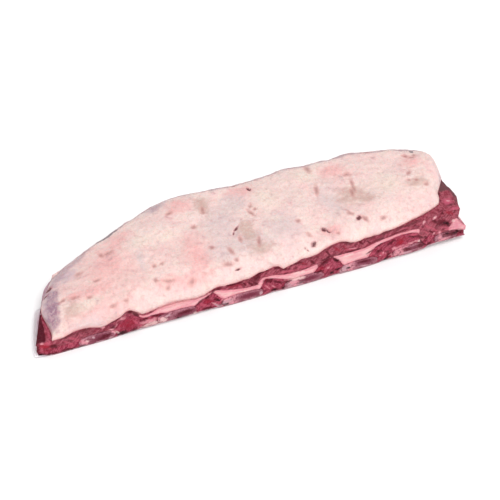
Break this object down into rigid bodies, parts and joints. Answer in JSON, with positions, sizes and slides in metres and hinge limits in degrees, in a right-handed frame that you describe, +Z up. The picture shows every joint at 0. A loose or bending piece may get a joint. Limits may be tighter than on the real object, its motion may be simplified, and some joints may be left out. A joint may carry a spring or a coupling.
{
  "type": "raw beef ribs",
  "caption": "Uncut slab of raw beef ribs for cooking, bone side down, with sawn bones and meat on its long cut faces and a thick smooth cap of pale fat.",
  "frame": {"origin": "centre of the slab's footprint, on the surface it lies on", "axes": "+X along the slab towards its thick end, -Y towards the long front cut face that shows the bones, +Z up through the fat cap"},
  "size_m": [0.432, 0.1372, 0.056],
  "materials": {
    "fat": "smooth moist raw fat, pale cream pink",
    "muscle": "moist raw beef, dark rose red",
    "seam_fat": "soft pink fat between the muscles",
    "skin": "thin moist membrane, grey lilac",
    "bone": "sawn raw bone, lilac with a brown-red core",
    "rib_meat": "moist raw beef between the bones, deep red"
  },
  "bodies": {
    "root": {"fat_cap": "fat", "outer_muscle": "muscle", "seam_fat": "seam_fat", "inner_skin": "skin", "rib_1": "bone", "rib_2": "bone", "rib_3": "bone", "rib_4": "bone", "rib_5": "bone", "rib_6": "bone", "rib_7": "bone", "rib_meat_1": "rib_meat", "rib_meat_2": "rib_meat", "rib_meat_3": "rib_meat", "rib_meat_4": "rib_meat", "rib_meat_5": "rib_meat", "rib_meat_6": "rib_meat", "rib_meat_7": "rib_meat", "rib_meat_8": "rib_meat"}
  },
  "joints": []
}
